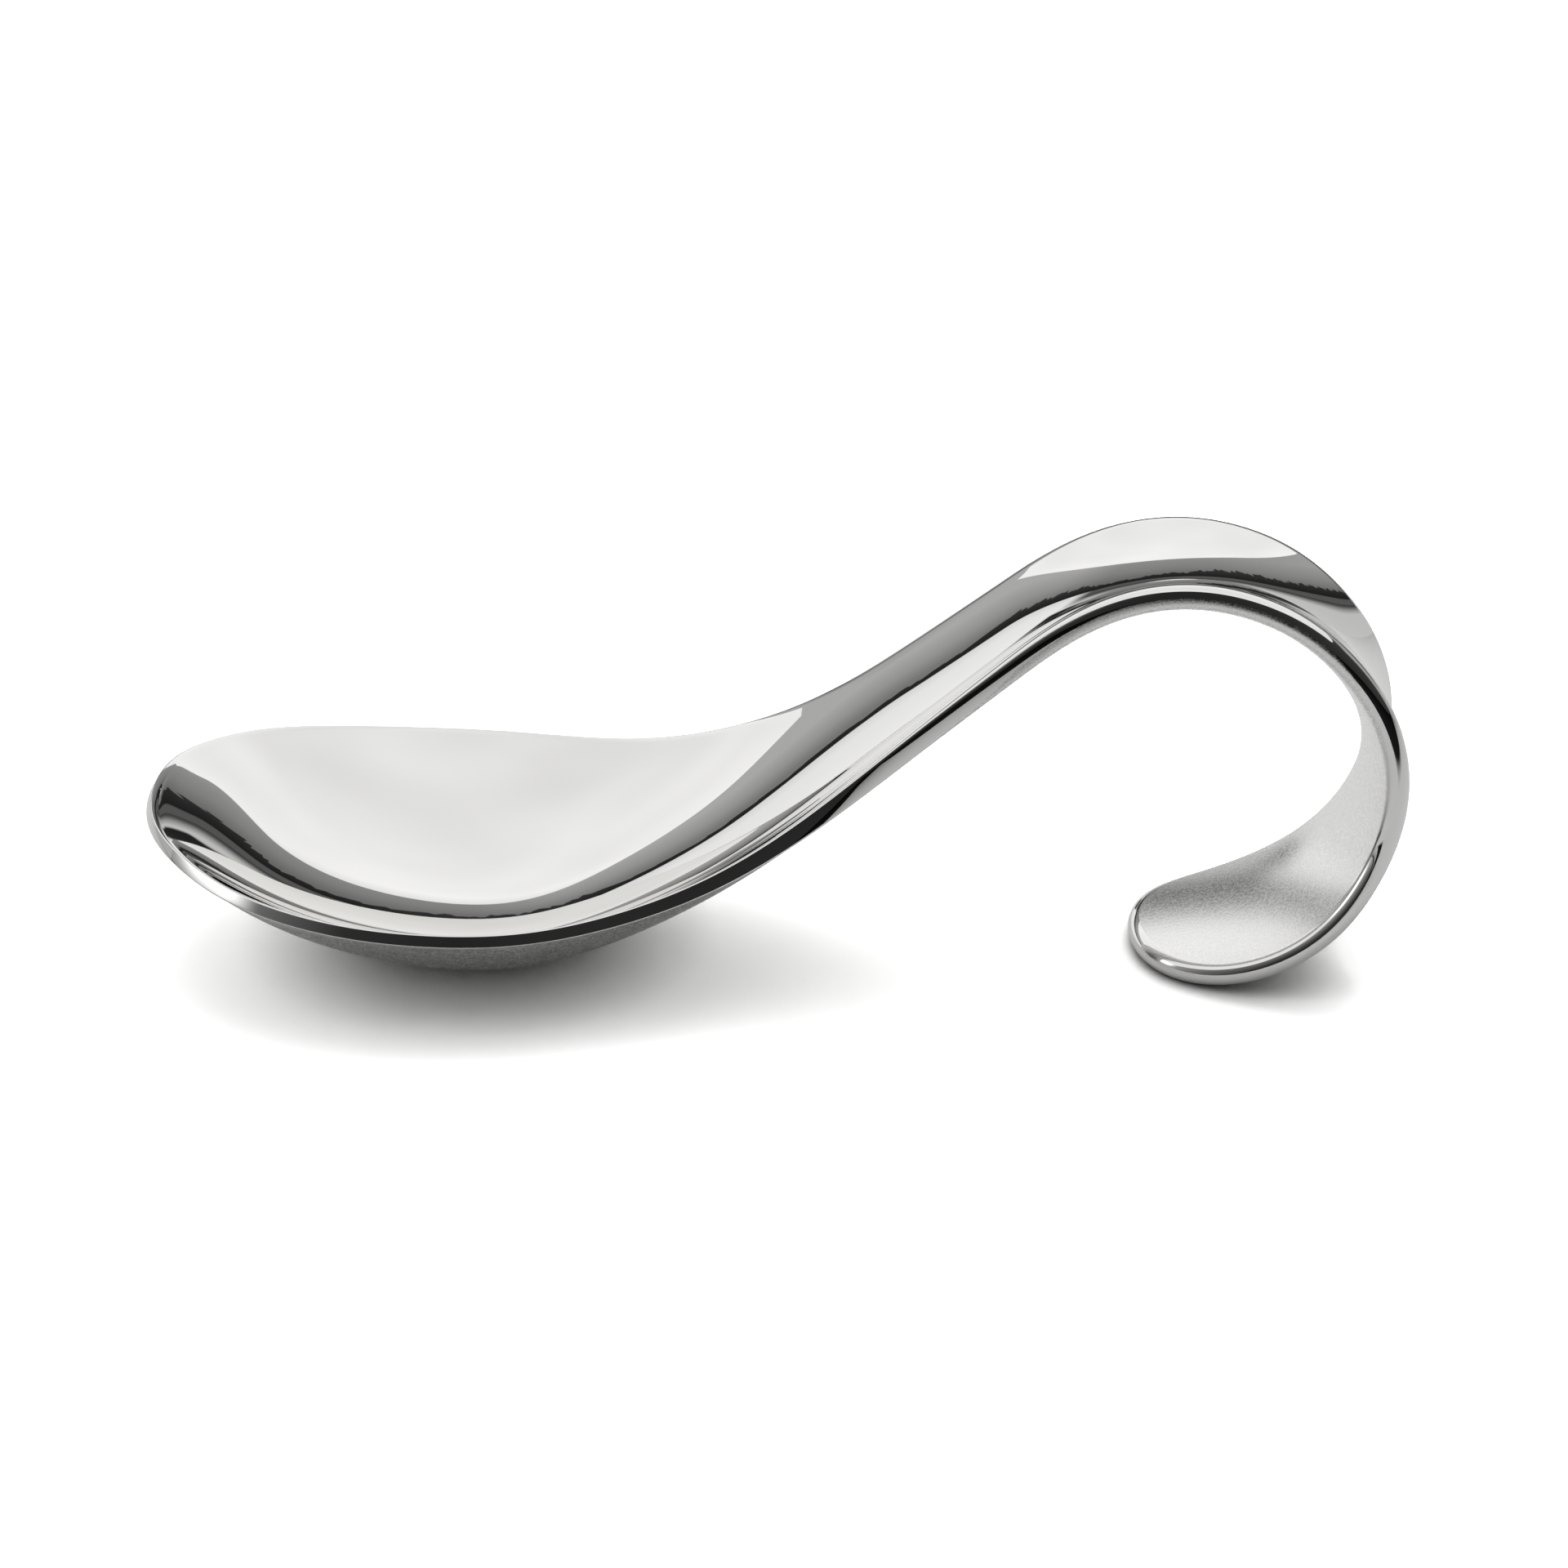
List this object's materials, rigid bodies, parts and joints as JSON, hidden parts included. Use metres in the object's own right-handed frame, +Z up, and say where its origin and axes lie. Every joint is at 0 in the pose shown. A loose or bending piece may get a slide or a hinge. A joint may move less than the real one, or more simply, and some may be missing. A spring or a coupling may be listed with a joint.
{
  "type": "curled-handle tasting spoon",
  "caption": "Small steel serving spoon with an oval bowl and a broad gutter-shaped handle that arches over and curls back under to rest on the table.",
  "frame": {"origin": "middle of the overall length, on the centre line, on the surface that the spoon stands on", "axes": "+X from the bowl towards the curl, +Y across the spoon, +Z up; the spoon is symmetric about the X-Z plane"},
  "size_m": [0.1244, 0.0428, 0.0438],
  "materials": {
    "bowl_steel": "stainless steel, mirror-polished inside and on the flat rim, bead-blasted satin outside with a crisp line between the two that fades out at the tip",
    "handle_steel": "stainless steel, mirror-polished hollow face and half-round edges, bead-blasted satin full face"
  },
  "bodies": {
    "root": {"bowl": "bowl_steel", "neck": "handle_steel", "crest": "handle_steel", "curl": "handle_steel", "curl_end": "handle_steel"}
  },
  "joints": []
}
